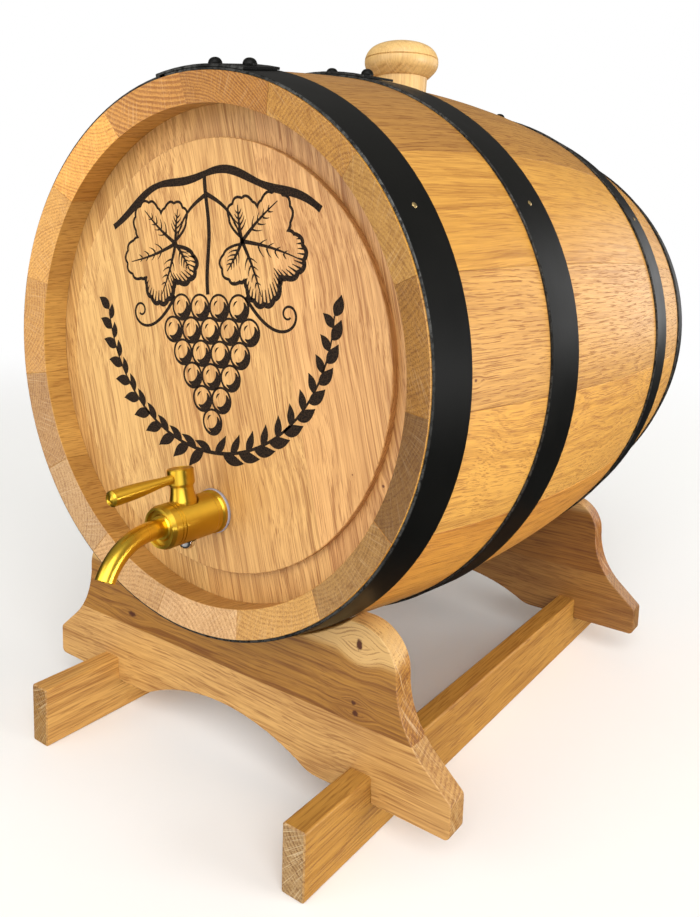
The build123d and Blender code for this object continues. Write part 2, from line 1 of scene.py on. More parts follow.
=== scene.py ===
import itertools
import json
import math
import random

import bmesh
import bpy
from mathutils import Matrix, Vector


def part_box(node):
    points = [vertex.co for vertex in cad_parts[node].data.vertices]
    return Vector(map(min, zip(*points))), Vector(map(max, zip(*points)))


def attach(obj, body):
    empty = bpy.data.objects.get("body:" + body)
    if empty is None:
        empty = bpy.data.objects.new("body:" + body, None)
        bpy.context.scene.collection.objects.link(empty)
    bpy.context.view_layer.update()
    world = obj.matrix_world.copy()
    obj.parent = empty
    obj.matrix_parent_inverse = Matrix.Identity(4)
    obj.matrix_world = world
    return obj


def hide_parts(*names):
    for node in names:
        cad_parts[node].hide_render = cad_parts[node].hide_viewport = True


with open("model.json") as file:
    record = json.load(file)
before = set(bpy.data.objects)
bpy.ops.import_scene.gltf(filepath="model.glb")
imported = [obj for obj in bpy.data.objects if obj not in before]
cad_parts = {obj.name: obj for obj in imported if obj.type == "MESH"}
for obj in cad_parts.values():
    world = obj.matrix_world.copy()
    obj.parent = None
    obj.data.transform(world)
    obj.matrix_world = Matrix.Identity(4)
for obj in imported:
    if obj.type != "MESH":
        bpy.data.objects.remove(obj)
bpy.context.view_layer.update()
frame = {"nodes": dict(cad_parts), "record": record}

# ---------------------------------------------------------------- frame values, in metres

record = frame["record"]
nodes = frame["nodes"]
joints = {joint["name"]: joint for joint in record["behaviour"]["joints"]}

stave_count = 15
stave_low, stave_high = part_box("stave_04")
cask_length = stave_high.y - stave_low.y
half_length = cask_length / 2
mid_cask = (stave_low.y + stave_high.y) / 2
end_radius = 0.150
belly_radius = 0.169
belly_rise = belly_radius - end_radius
bilge_radius = (half_length**2 + belly_rise**2) / (2 * belly_rise)
cask_roll = math.radians(2.5)
axis_height = 0.2461
centre = Vector((0, mid_cask, axis_height))
cask_up = Vector((-math.sin(cask_roll), 0, math.cos(cask_roll)))
cask_side = Vector((math.cos(cask_roll), 0, math.sin(cask_roll)))
along_y = Vector((0, 1, 0))
board_lean = math.radians(11.5)
along_boards = cask_up * math.cos(board_lean) - cask_side * math.sin(board_lean)
across_boards = cask_side * math.cos(board_lean) + cask_up * math.sin(board_lean)


def around(angle):
    """Outward and sideways directions at an angle in degrees from the top stave joint."""
    turn = math.radians(angle) - cask_roll
    outward = Vector((math.sin(turn), 0, math.cos(turn)))
    sideways = Vector((math.cos(turn), 0, -math.sin(turn)))
    return outward, sideways


# ---------------------------------------------------------------- node helpers

def new_node(tree, kind, **settings):
    """A shader node with its properties, and its sockets set by name or number."""
    node = tree.nodes.new(kind)
    for key, value in settings.items():
        if key != "inputs":
            setattr(node, key, value)
    for key, value in settings.get("inputs", {}).items():
        if isinstance(value, bpy.types.NodeSocket):
            tree.links.new(value, node.inputs[key])
        else:
            node.inputs[key].default_value = value
    return node


def math_node(tree, operation, a, b=0.0, c=0.0, clamp=False):
    """Result of one scalar operation."""
    node = new_node(tree, "ShaderNodeMath", operation=operation, use_clamp=clamp,
                    inputs={0: a, 1: b, 2: c})
    return node.outputs[0]


def vector_node(tree, operation, a, b=(0, 0, 0)):
    """Result of one vector operation."""
    node = new_node(tree, "ShaderNodeVectorMath", operation=operation, inputs={0: a, 1: b})
    return node.outputs["Value" if operation in ("LENGTH", "DOT_PRODUCT") else "Vector"]


def noise_node(tree, vector, scale, detail=2.0, roughness=0.5):
    """Noise value between 0 and 1."""
    node = new_node(tree, "ShaderNodeTexNoise",
                    inputs={"Vector": vector, "Scale": scale, "Detail": detail,
                            "Roughness": roughness})
    return node.outputs["Fac"]


def remap(tree, value, low, high, to_low=0.0, to_high=1.0):
    """Smooth step of a value from one range to another."""
    node = new_node(tree, "ShaderNodeMapRange", interpolation_type="SMOOTHSTEP",
                    inputs={0: value, 1: low, 2: high, 3: to_low, 4: to_high})
    return node.outputs[0]


def mix_colour(tree, amount, a, b, blend="MIX"):
    """Two colours mixed by an amount."""
    node = new_node(tree, "ShaderNodeMix", data_type="RGBA", blend_type=blend,
                    inputs={0: amount, 6: a, 7: b})
    return node.outputs[2]


def new_material(name):
    """An empty node material, its tree and its shader."""
    material = bpy.data.materials.new(name)
    material.use_nodes = True
    tree = material.node_tree
    tree.nodes.clear()
    shader = new_node(tree, "ShaderNodeBsdfPrincipled")
    output = new_node(tree, "ShaderNodeOutputMaterial")
    tree.links.new(shader.outputs[0], output.inputs[0])
    return material, tree, shader


# ---------------------------------------------------------------- oak

# How fast each mark changes across, along and through a board, per metre.
sway_scale = (9.0, 7.0, 9.0)
ripple_scale = (60.0, 6.0, 60.0)
end_dash_scale = (1500.0, 90.0, 1500.0)
streak_scale = (260.0, 7.0, 260.0)
fibre_scale = (1100.0, 30.0, 1100.0)
tone_scale = (24.0, 5.0, 24.0)
ray_turn_scale = 110.0
ray_length_scale = 45.0
ripple_size = 0.0026
sapwood_blend = 0.006
# How strongly each mark darkens or lightens the wood.
plain_darkness = 0.18
fibre_share = 1.5
tone_share = 0.9
sapwood_share = 0.72
pale_wood = (0.86, 0.60, 0.26, 1)
ray_wood = (0.9, 0.75, 0.5, 1)
dash_shade = (0.80, 0.70, 0.58, 1)
knot_shade = (0.40, 0.24, 0.15, 1)


def oak_sockets(tree):
    """The oak group's inputs and outputs."""
    sockets = (
        ("Vector", "Vector"), ("End", "Float"), ("Pith", "Vector"), ("Spacing", "Float"),
        ("Slope", "Float"), ("Bend", "Float"), ("Light", "Color"), ("Dark", "Color"),
        ("Rings", "Float"), ("Dashes", "Float"), ("Dash Scale", "Vector"), ("Streaks", "Float"),
        ("Rays", "Float"), ("Sapwood", "Float"), ("Knot", "Float"), ("Seed", "Vector"),
    )
    for name, kind in sockets:
        tree.interface.new_socket(name, in_out="INPUT", socket_type=f"NodeSocket{kind}")
    for name, kind in (("Colour", "Color"), ("Roughness", "Float"), ("Height", "Float")):
        tree.interface.new_socket(name, in_out="OUTPUT", socket_type=f"NodeSocket{kind}")
    return tree.nodes.new("NodeGroupInput").outputs, tree.nodes.new("NodeGroupOutput").inputs


def bent_place(tree, given):
    """The place in the board. Bent boards follow their own curve, and the grain with them."""
    parts = new_node(tree, "ShaderNodeSeparateXYZ", inputs={0: given["Vector"]}).outputs
    sag = math_node(tree, "MULTIPLY", math_node(tree, "MULTIPLY", parts[1], parts[1]),
                    given["Bend"])
    depth = math_node(tree, "ADD", parts[2], sag)
    return new_node(tree, "ShaderNodeCombineXYZ",
                    inputs={0: parts[0], 1: parts[1], 2: depth}).outputs[0]


def growth_rings(tree, given, place, swayed, sway):
    """Offset and distance from the pith, and how much of the early wood shows. The rings
    are unevenly spaced and rippled."""
    ripple_place = vector_node(tree, "MULTIPLY", swayed, ripple_scale)
    ripple = math_node(tree, "SUBTRACT", noise_node(tree, ripple_place, 1.0, 2.0), 0.5)
    from_pith = vector_node(tree, "MULTIPLY", vector_node(tree, "SUBTRACT", place, given["Pith"]),
                            (1, 0, 1))
    radius = math_node(tree, "ADD", vector_node(tree, "LENGTH", from_pith), sway)
    radius = math_node(tree, "MULTIPLY_ADD", ripple, ripple_size, radius)
    turns = math_node(tree, "DIVIDE", radius, given["Spacing"])
    ring = math_node(tree, "FRACT", turns)
    ring_tone = new_node(tree, "ShaderNodeTexWhiteNoise", noise_dimensions="1D", inputs={
        "W": math_node(tree, "FLOOR", turns)}).outputs["Value"]
    early = math_node(tree, "MULTIPLY", remap(tree, ring, 0.0, 0.12),
                      remap(tree, ring, 0.75, 0.35))
    strength = math_node(tree, "MULTIPLY_ADD", ring_tone, 0.7, 0.45)
    return from_pith, radius, math_node(tree, "MULTIPLY", early, strength)


def vessel_dashes(tree, given, swayed, early):
    """Open vessels: short dark dashes along the grain, and dots on end faces."""
    fine_scale = new_node(tree, "ShaderNodeMix", data_type="VECTOR", inputs={
        0: given["End"], 4: given["Dash Scale"], 5: end_dash_scale}).outputs[1]
    dash = noise_node(tree, vector_node(tree, "MULTIPLY", swayed, fine_scale), 1.0, 2.0, 0.45)
    dash = math_node(tree, "MULTIPLY_ADD", early, 0.07, dash)
    return math_node(tree, "MULTIPLY", remap(tree, dash, 0.57, 0.66), given["Dashes"])


def end_rays(tree, given, from_pith, radius):
    """Rays that run out from the pith. They only show on end faces."""
    sides = new_node(tree, "ShaderNodeSeparateXYZ", inputs={0: from_pith}).outputs
    bearing = math_node(tree, "ARCTAN2", sides[0], sides[2])
    ray_place = new_node(tree, "ShaderNodeCombineXYZ", inputs={
        0: math_node(tree, "MULTIPLY", bearing, ray_turn_scale),
        1: math_node(tree, "MULTIPLY", radius, ray_length_scale)}).outputs[0]
    ray = remap(tree, noise_node(tree, ray_place, 1.0, 2.0), 0.55, 0.66)
    return math_node(tree, "MULTIPLY", ray, math_node(tree, "MULTIPLY", given["End"],
                                                      given["Rays"]))


def wood_darkness(tree, given, swayed, early, fibre):
    """How dark the plain wood is: its rings, broad streaks, fine fibres and slow changes."""
    streak_place = vector_node(tree, "MULTIPLY", swayed, streak_scale)
    streak = remap(tree, noise_node(tree, streak_place, 1.0, 3.0, 0.6), 0.46, 0.7)
    streak = math_node(tree, "MULTIPLY", streak, given["Streaks"])
    tone = noise_node(tree, vector_node(tree, "MULTIPLY", swayed, tone_scale), 1.0, 2.0)
    ring_share = math_node(tree, "MULTIPLY", given["Rings"],
                           math_node(tree, "MULTIPLY_ADD", given["End"], 0.8, 0.3))
    darkness = math_node(tree, "MULTIPLY", early, ring_share)
    darkness = math_node(tree, "ADD", darkness, streak)
    darkness = math_node(tree, "MULTIPLY_ADD", math_node(tree, "SUBTRACT", fibre, 0.5),
                         fibre_share, darkness)
    darkness = math_node(tree, "MULTIPLY_ADD", math_node(tree, "SUBTRACT", tone, 0.5),
                         tone_share, darkness)
    return math_node(tree, "ADD", darkness, plain_darkness, clamp=True)


def wood_colour(tree, given, darkness, radius, dash, ray):
    """The wood's colour, with its sapwood, vessels, rays and knots over each other."""
    colour = mix_colour(tree, darkness, given["Light"], given["Dark"])
    pale = mix_colour(tree, 0.55, given["Light"], pale_wood)
    sapwood_full = math_node(tree, "ADD", given["Sapwood"], sapwood_blend)
    sapwood = remap(tree, radius, given["Sapwood"], sapwood_full)
    colour = mix_colour(tree, math_node(tree, "MULTIPLY", sapwood, sapwood_share), colour, pale)
    dash_colour = mix_colour(tree, 1.0, given["Dark"], dash_shade, "MULTIPLY")
    colour = mix_colour(tree, dash, colour, dash_colour)
    ray_colour = mix_colour(tree, 0.4, given["Light"], ray_wood)
    colour = mix_colour(tree, ray, colour, ray_colour)
    knot_colour = mix_colour(tree, 1.0, given["Dark"], knot_shade, "MULTIPLY")
    return mix_colour(tree, given["Knot"], colour, knot_colour)


def make_oak_group():
    """Node group for solid oak. Its vector has X across the board, Y along the grain
    and Z through the thickness, in metres."""
    tree = bpy.data.node_groups.new("oak_grain", "ShaderNodeTree")
    given, result = oak_sockets(tree)
    place = bent_place(tree, given)
    seeded = vector_node(tree, "ADD", place, given["Seed"])

    # The grain wanders slowly from side to side, and every finer mark follows it.
    sway_place = vector_node(tree, "MULTIPLY", seeded, sway_scale)
    sway = math_node(tree, "SUBTRACT", noise_node(tree, sway_place, 1.0, 2.0), 0.5)
    sway = math_node(tree, "MULTIPLY", sway, given["Slope"])
    swayed = vector_node(tree, "ADD", seeded, new_node(
        tree, "ShaderNodeCombineXYZ", inputs={0: sway, 2: sway}).outputs[0])

    from_pith, radius, early = growth_rings(tree, given, place, swayed, sway)
    dash = vessel_dashes(tree, given, swayed, early)
    ray = end_rays(tree, given, from_pith, radius)
    fibre_place = vector_node(tree, "MULTIPLY", swayed, fibre_scale)
    fibre = noise_node(tree, fibre_place, 1.0, 3.0, 0.6)
    darkness = wood_darkness(tree, given, swayed, early, fibre)
    colour = wood_colour(tree, given, darkness, radius, dash, ray)
    rough = math_node(tree, "MULTIPLY_ADD", fibre, 0.2, 0.34)
    rough = math_node(tree, "MULTIPLY_ADD", dash, 0.25, rough, clamp=True)
    height = math_node(tree, "MULTIPLY_ADD", dash, -0.8, math_node(tree, "MULTIPLY", fibre, 0.4))
    tree.links.new(colour, result["Colour"])
    tree.links.new(rough, result["Roughness"])
    tree.links.new(height, result["Height"])
    return tree


oak_group = make_oak_group()
seeds = random.Random(7)
grain_depth = 0.0003
no_sapwood = 9.0


def tone_pair(colour, depth):
    """Light and dark shades around a middle colour. Blue falls off most, red least."""
    red_fall, green_fall, blue_fall = 0.75, 1.0, 1.25
    light = [min(1.0, part * 1.16) for part in colour]
    dark = [part * (1 - depth * fall)
            for part, fall in zip(colour, (red_fall, green_fall, blue_fall))]
    return light, dark


def add_knot(tree, local, bent, mask, across, along, width, length):
    """Bend the grain round a knot that runs through the board, and add it to the mask."""
    offset = vector_node(tree, "SUBTRACT", local, (across, along, 0))
    scaled = vector_node(tree, "MULTIPLY", offset, (1 / width, 1 / length, 0))
    rough_edge = noise_node(tree, vector_node(tree, "MULTIPLY", local, (700, 700, 0)), 1.0)
    span = math_node(tree, "MULTIPLY_ADD", rough_edge, 0.5, vector_node(tree, "LENGTH", scaled))
    spot = remap(tree, span, 1.0, 0.6)
    push = remap(tree, span, 5.0, 0.8, 0.0, 1.2 * width)
    side = math_node(tree, "SIGN", new_node(tree, "ShaderNodeSeparateXYZ",
                                            inputs={0: offset}).outputs[0])
    shift = new_node(tree, "ShaderNodeCombineXYZ", inputs={
        0: math_node(tree, "MULTIPLY", push, side)}).outputs[0]
    return vector_node(tree, "SUBTRACT", bent, shift), math_node(tree, "MAXIMUM", mask, spot)


def oak(name, origin, axes, side_tone, end_tone=None, depth=0.45, pith=(0.03, 0, -0.09),
        spacing=0.0022, slope=0.01, bend=0.0, rings=0.5, dashes=0.6, dash_scale=(1800, 80, 1800),
        streaks=0.2, rays=0.5, sapwood=no_sapwood, knots=(), bump=0.35):
    """Oak for one board. axes are its directions across, along the grain and through.
    pith is the middle of its growth rings, spacing their pitch, and sapwood the distance
    from the pith where the wood turns pale. Each knot is its place across and along the
    board, its half width and half length."""
    material, tree, shader = new_material(name)
    across, along, through = axes
    turn = Matrix((across, along, through)).transposed().to_euler()
    coords = new_node(tree, "ShaderNodeTexCoord").outputs
    local = new_node(tree, "ShaderNodeMapping", vector_type="TEXTURE",
                     inputs={0: coords["Object"], 1: origin, 2: turn}).outputs[0]
    bent = local
    knot_mask = 0.0
    for knot in knots:
        bent, knot_mask = add_knot(tree, local, bent, knot_mask, *knot)
    facing = vector_node(tree, "DOT_PRODUCT", coords["Normal"], along)
    end = remap(tree, math_node(tree, "ABSOLUTE", facing), 0.5, 0.85)
    seed = [seeds.uniform(0, 5) for _ in range(3)]
    side_pair = tone_pair(side_tone, depth)
    end_pair = tone_pair(end_tone or side_tone, depth)
    light, dark = [mix_colour(tree, end, (*on_side, 1), (*on_end, 1))
                   for on_side, on_end in zip(side_pair, end_pair)]
    grain = new_node(tree, "ShaderNodeGroup", node_tree=oak_group, inputs={
        "Vector": bent, "End": end, "Pith": pith, "Spacing": spacing, "Slope": slope,
        "Bend": bend, "Light": light, "Dark": dark, "Rings": rings,
        "Dashes": dashes, "Dash Scale": dash_scale, "Streaks": streaks, "Rays": rays,
        "Sapwood": sapwood, "Knot": knot_mask, "Seed": seed}).outputs
    raised = new_node(tree, "ShaderNodeBump",
                      inputs={"Strength": bump, "Distance": grain_depth, "Height": grain["Height"]})
    tree.links.new(grain["Colour"], shader.inputs["Base Color"])
    tree.links.new(grain["Roughness"], shader.inputs["Roughness"])
    tree.links.new(raised.outputs[0], shader.inputs["Normal"])
    shader.inputs["Coat Weight"].default_value = 0.1
    shader.inputs["Coat Roughness"].default_value = 0.32
    return material


def dress(node, material):
    """Give a CAD node its better material."""
    mesh = nodes[node].data
    mesh.materials.clear()
    mesh.materials.append(material)


# ---------------------------------------------------------------- staves

# Middle tones of each stave on its side and on its end grain, going round from the top joint.
# # The tones also carry painted light and shade: staves 1 and 2 on top are darkened as painted
# # shade, stave 5 on the lower right and staves 11 to 13, whose inner walls line the chime, are
# # lightened as painted light, and the end tones carry the front ring's painted light and shade,
# # darkest on stave 5.
stave_tones_and_painted_light = (
    ((0.37, 0.176, 0.033), (0.40, 0.175, 0.028)), ((0.36, 0.172, 0.030), (0.42, 0.205, 0.036)),
    ((0.50, 0.250, 0.042), (0.39, 0.205, 0.046)), ((0.50, 0.260, 0.060), (0.30, 0.142, 0.023)),
    ((0.57, 0.290, 0.052), (0.18, 0.087, 0.021)), ((0.55, 0.240, 0.030), (0.30, 0.162, 0.045)),
    ((0.46, 0.220, 0.045), (0.45, 0.240, 0.060)), ((0.42, 0.210, 0.045), (0.51, 0.305, 0.130)),
    ((0.46, 0.240, 0.055), (0.44, 0.250, 0.090)), ((0.40, 0.205, 0.045), (0.36, 0.210, 0.082)),
    ((0.58, 0.330, 0.082), (0.33, 0.176, 0.055)), ((0.62, 0.360, 0.092), (0.44, 0.220, 0.044)),
    ((0.54, 0.300, 0.074), (0.53, 0.270, 0.054)), ((0.50, 0.240, 0.042), (0.71, 0.340, 0.062)),
    ((0.46, 0.220, 0.040), (0.50, 0.230, 0.043)),
)
# Some staves have their own figure: stronger or shorter dashes, streaks, rings and knots.
stave_figures = {
    0: dict(rings=0.8),
    1: dict(dashes=0.7, dash_scale=(1250, 60, 1250), streaks=0.4),
    2: dict(dashes=0.45, dash_scale=(1400, 45, 1400), streaks=0.45),
    3: dict(dashes=0.85, dash_scale=(2000, 62, 2000), streaks=0.35,
            knots=((0.018, -0.1695, 0.0014, 0.0018),)),
    4: dict(dashes=0.7, dash_scale=(2000, 55, 2000), slope=0.03, streaks=0.45,
            knots=((0.0015, 0.048, 0.0013, 0.0024),)),
    5: dict(dashes=0.5, dash_scale=(1250, 60, 1250), streaks=0.5),
    13: dict(rings=0.5),
    14: dict(rings=0.9),
}
for index, (tone, end_tone) in enumerate(stave_tones_and_painted_light):
    outward, sideways = around((index + 0.5) * 360 / stave_count)
    figure = {"rings": 0.34, "rays": 0.22, **stave_figures.get(index, {})}
    pith = (seeds.uniform(-0.06, 0.06), 0, seeds.choice((-1, 1)) * seeds.uniform(0.03, 0.09))
    dress(f"stave_{index + 1:02d}", oak(
        f"oak_stave_{index + 1:02d}", centre + outward * belly_radius,
        (sideways, along_y, outward), tone, end_tone, pith=pith,
        spacing=seeds.uniform(0.0016, 0.0026), bend=0.5 / bilge_radius, **figure))

# ---------------------------------------------------------------- heads

head_tones = ((0.57, 0.34, 0.118), (0.57, 0.325, 0.11), (0.57, 0.31, 0.108))
board_step = 0.06
# Two worm holes in the front head's third board, from the middle of the head, and their radii.
worm_holes = ((Vector((0.098, 0, -0.047)), 0.0008), (Vector((0.113, 0, -0.051)), 0.0014))
holes = [(spot.dot(across_boards) - board_step, spot.dot(along_boards), size, size)
         for spot, size in worm_holes]
# Each head's rings run round a pith on the far side of the cask's middle.
head_pith_depth = 0.11
for name, pith_side in (("front", 1), ("rear", -1)):
    for index, tone in enumerate(head_tones):
        spots = holes if (name, index) == ("front", 2) else ()
        dress(f"{name}_head_board_{index + 1}", oak(
            f"oak_{name}_head_{index + 1}", centre + across_boards * (index - 1) * board_step,
            (across_boards, along_boards, along_y), tone, depth=0.5,
            pith=(seeds.uniform(-0.02, 0.02), 0, head_pith_depth * pith_side), spacing=0.0019,
            rings=1.0, dash_scale=(2100, 9, 2100), slope=0.018, dashes=0.75, streaks=0.45,
            knots=spots))

# ---------------------------------------------------------------- stand, bung and dowels

across_x = Vector((1, 0, 0))
upright = Vector((0, 0, 1))
# Knots in the front cradle's upper board: X, height, half height and half width.
horn_knots = ((0.0986, 0.1069, 0.0050, 0.0034), (0.0960, 0.0739, 0.0022, 0.0026),
              (0.0972, 0.0684, 0.0030, 0.0034), (-0.0803, 0.0715, 0.0030, 0.0060))
# Each board's tone, its end grain's share of that, streaks, start of sapwood, and knots.
# # The rear boards' tones are darkened as painted shade, for the shade under the cask.
cradle_boards = (
    ("front_cradle_upper", (0.31, 0.143, 0.020), 1.18, 0.8, 0.102, horn_knots),
    ("front_cradle_lower", (0.48, 0.268, 0.082), 0.9, 0.42, no_sapwood, ()),
    ("rear_cradle_upper", (0.23, 0.092, 0.012), 1.35, 0.8, 0.112, ()),
    ("rear_cradle_lower", (0.28, 0.130, 0.027), 0.9, 0.5, no_sapwood, ()),
)
for name, tone, end_share, streaks, sapwood, spots in cradle_boards:
    low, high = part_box(name)
    middle = (low + high) / 2
    knots = [(up - middle.z, x - middle.x, tall, wide) for x, up, tall, wide in spots]
    end_tone = [part * end_share for part in tone]
    dress(name, oak(f"oak_{name}", middle, (upright, across_x, along_y), tone, end_tone,
                    depth=0.58, pith=(-0.09, 0, 0.03), slope=0.016, streaks=streaks, dashes=0.5,
                    dash_scale=(1200, 32, 1200), sapwood=sapwood, knots=knots))
# Each rail's tone on its sides and on its end grain. The left rail's side tone is lightened
# # as painted light on its lit side.
rail_tones_and_painted_light = (("left_rail", (0.59, 0.320, 0.084), (0.27, 0.145, 0.036)),
              ("right_rail", (0.40, 0.198, 0.036), (0.32, 0.200, 0.082)))
for name, tone, end_tone in rail_tones_and_painted_light:
    low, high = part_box(name)
    dress(name, oak(f"oak_{name}", (low + high) / 2, (across_x, along_y, upright), tone, end_tone,
                    depth=0.55, pith=(0.03, 0, 0.03), rays=0.7, streaks=0.4, dashes=0.5,
                    dash_scale=(1100, 34, 1100)))
bung_grain = Vector((0.3, 0.4, 1)).normalized()
dress("bung", oak("oak_bung", centre, (across_x, bung_grain, along_y), (0.60, 0.39, 0.145),
                  spacing=0.003, rings=0.4, dashes=0.15, bump=0.15))
for name in ("front_head_dowels", "rear_head_dowels"):
    dress(name, oak(f"oak_{name}", centre, (across_x, along_y, upright), (0.55, 0.34, 0.14)))


# ---------------------------------------------------------------- hoops and rivets

# The paint starts to rub off this far from the strip's edges, and is thinnest nearer them.
rub_inside = 0.0004
rub_full = 0.0001
fresh_paint = (0.002, 0.002, 0.002, 1)
dull_paint = (0.005, 0.005, 0.004, 1)
rubbed_steel = (0.085, 0.085, 0.08, 1)


def painted_hoop(name, low, high):
    """Black satin paint over a steel strip, rubbed through along its two edges, which lie
    at low and high along Y."""
    material, tree, shader = new_material(name)
    coords = new_node(tree, "ShaderNodeTexCoord").outputs["Object"]
    along = new_node(tree, "ShaderNodeSeparateXYZ", inputs={0: coords}).outputs[1]
    from_low = math_node(tree, "SUBTRACT", along, low)
    from_high = math_node(tree, "SUBTRACT", high, along)
    from_edge = math_node(tree, "MINIMUM", from_low, from_high)
    chips = noise_node(tree, coords, 420.0, 4.0, 0.7)
    patches = remap(tree, noise_node(tree, coords, 40.0, 2.0), 0.3, 0.6, 0.25, 1.0)
    near_edge = math_node(tree, "MULTIPLY", remap(tree, from_edge, rub_inside, rub_full),
                          patches)
    worn = math_node(tree, "MULTIPLY", remap(tree, chips, 0.36, 0.62), near_edge)
    speck = noise_node(tree, coords, 900.0, 3.0)
    broad = noise_node(tree, coords, 35.0, 2.0)
    paint = mix_colour(tree, broad, fresh_paint, dull_paint)
    colour = mix_colour(tree, worn, paint, rubbed_steel)
    rough = math_node(tree, "MULTIPLY_ADD", broad, 0.18, 0.32)
    height = math_node(tree, "MULTIPLY_ADD", worn, -1.5, speck)
    raised = new_node(tree, "ShaderNodeBump",
                      inputs={"Strength": 0.1, "Distance": 0.0002, "Height": height})
    tree.links.new(colour, shader.inputs["Base Color"])
    tree.links.new(math_node(tree, "MULTIPLY", worn, 0.8), shader.inputs["Metallic"])
    shader.inputs["Specular IOR Level"].default_value = 0.14
    tree.links.new(rough, shader.inputs["Roughness"])
    tree.links.new(raised.outputs[0], shader.inputs["Normal"])
    return material


hoops = ("front_head_hoop", "front_quarter_hoop", "rear_quarter_hoop", "rear_head_hoop")
for name in hoops:
    low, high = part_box(name)
    dress(name, painted_hoop(f"paint_{name}", low.y, high.y))
# The rivets have the same paint, with no strip edge near them.
dress("hoop_rivets", painted_hoop("paint_rivets", -1.0, 1.0))

# ---------------------------------------------------------------- tap, tacks and washers

turning_line_scale = 4000.0


def turned_metal(name, colour, rough, origin, line_axis, stretch=0.9):
    """Metal with fine turning lines round an axis, which stretch its highlights along it."""
    material, tree, shader = new_material(name)
    coords = new_node(tree, "ShaderNodeTexCoord").outputs
    offset = vector_node(tree, "SUBTRACT", coords["Object"], origin)
    along = vector_node(tree, "DOT_PRODUCT", offset, line_axis)
    line_way = vector_node(tree, "CROSS_PRODUCT", line_axis, offset)
    lines = new_node(tree, "ShaderNodeTexNoise", noise_dimensions="1D",
                     inputs={"W": along, "Scale": turning_line_scale,
                             "Detail": 2.0}).outputs["Fac"]
    cloud = noise_node(tree, coords["Object"], 120.0, 2.0)
    tint = mix_colour(tree, cloud, (*colour, 1), (*[c * 0.85 for c in colour], 1))
    raised = new_node(tree, "ShaderNodeBump",
                      inputs={"Strength": 0.12, "Distance": 0.00003, "Height": lines})
    gloss = math_node(tree, "MULTIPLY_ADD", lines, 0.12, rough)
    tree.links.new(tint, shader.inputs["Base Color"])
    tree.links.new(gloss, shader.inputs["Roughness"])
    tree.links.new(raised.outputs[0], shader.inputs["Normal"])
    tree.links.new(line_way, shader.inputs["Tangent"])
    shader.inputs["Anisotropic"].default_value = stretch
    shader.inputs["Anisotropic Rotation"].default_value = 0.25
    shader.inputs["Metallic"].default_value = 1.0
    return material


gold = (0.78, 0.50, 0.05)
steel = (0.72, 0.72, 0.73)
dull_brass = (0.62, 0.45, 0.2)
tap_origin = Vector(joints["tap_turn"]["pos_m"])
tap_up = Vector(joints["tap_turn"]["axis"])
lever_low, lever_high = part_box("tap_lever")
lever_droop = math.radians(2.5)
lever_way = along_y * math.cos(lever_droop) + tap_up * math.sin(lever_droop)
brass_along = turned_metal("brass_turned_along", gold, 0.34, tap_origin, along_y)
dress("tap_body", brass_along)
dress("tap_nut", brass_along)
dress("tap_lever", turned_metal("brass_lever", gold, 0.34, (lever_low + lever_high) / 2,
                                lever_way))
dress("tap_spout", turned_metal("brass_spout", gold, 0.24, tap_origin, along_y, stretch=0.0))
dress("tap_plug", turned_metal("brass_turned_up", gold, 0.3, tap_origin, tap_up))
dress("tap_domed_nut", turned_metal("domed_nut_steel", steel, 0.15, tap_origin, tap_up,
                                    stretch=0.3))
dress("hoop_tacks", turned_metal("tack_brass", dull_brass, 0.35, tap_origin, along_y,
                                 stretch=0.0))


def washer_rubber(name):
    """Whitish, slightly see-through rubber with a dusty bloom."""
    material, tree, shader = new_material(name)
    coords = new_node(tree, "ShaderNodeTexCoord").outputs["Object"]
    bloom = noise_node(tree, coords, 320.0, 3.0, 0.6)
    grit = noise_node(tree, coords, 2200.0, 2.0)
    colour = mix_colour(tree, bloom, (0.30, 0.29, 0.34, 1), (0.50, 0.47, 0.53, 1))
    rough = math_node(tree, "MULTIPLY_ADD", bloom, 0.25, 0.3)
    raised = new_node(tree, "ShaderNodeBump",
                      inputs={"Strength": 0.2, "Distance": 0.0001, "Height": grit})
    tree.links.new(colour, shader.inputs["Base Color"])
    tree.links.new(rough, shader.inputs["Roughness"])
    tree.links.new(raised.outputs[0], shader.inputs["Normal"])
    shader.inputs["Transmission Weight"].default_value = 0.25
    return material


seal_material = washer_rubber("seal_white")
dress("tap_front_seal", seal_material)
dress("tap_rear_seal", seal_material)

# ---------------------------------------------------------------- eased edges

body_of = {node: body for body, members in record["behaviour"]["bodies"].items()
           for node in members}

sharp_corner = math.radians(35)
flat_angle = math.radians(0.2)
stave_edge = 0.00035
hoop_edge = 0.0003


def eased(node, width):
    """Stand a piece in for a node: the same solid with its sharp edges rounded."""
    mesh = nodes[node].data.copy()
    piece = bpy.data.objects.new(f"{node}_eased", mesh)
    bpy.context.scene.collection.objects.link(piece)
    maker = bmesh.new()
    maker.from_mesh(mesh)
    bmesh.ops.remove_doubles(maker, verts=maker.verts, dist=2e-6)
    bmesh.ops.dissolve_limit(maker, verts=maker.verts, edges=maker.edges,
                             angle_limit=flat_angle)
    sharp = [edge for edge in maker.edges
             if len(edge.link_faces) == 2 and edge.calc_face_angle() > sharp_corner]
    bmesh.ops.bevel(maker, geom=sharp, offset=width, segments=2, profile=0.5,
                    affect="EDGES", clamp_overlap=True)
    for face in maker.faces:
        face.smooth = True
    maker.to_mesh(mesh)
    maker.free()
    weigh = piece.modifiers.new("normals", "WEIGHTED_NORMAL")
    weigh.keep_sharp = False
    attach(piece, body_of[node])
    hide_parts(node)


for index in range(1, stave_count + 1):
    eased(f"stave_{index:02d}", stave_edge)
for name in hoops:
    eased(name, hoop_edge)

# ---------------------------------------------------------------- burnt drawing on the head

panel_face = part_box("front_head_board_2")[0].y
mm = 0.001
drawing = bmesh.new()
# Each line stands a hair higher or lower than the one before, so crossings share no plane.
lifts = itertools.cycle([0.05 + 0.006 * level for level in range(9)])
depth_in_wood = 0.06


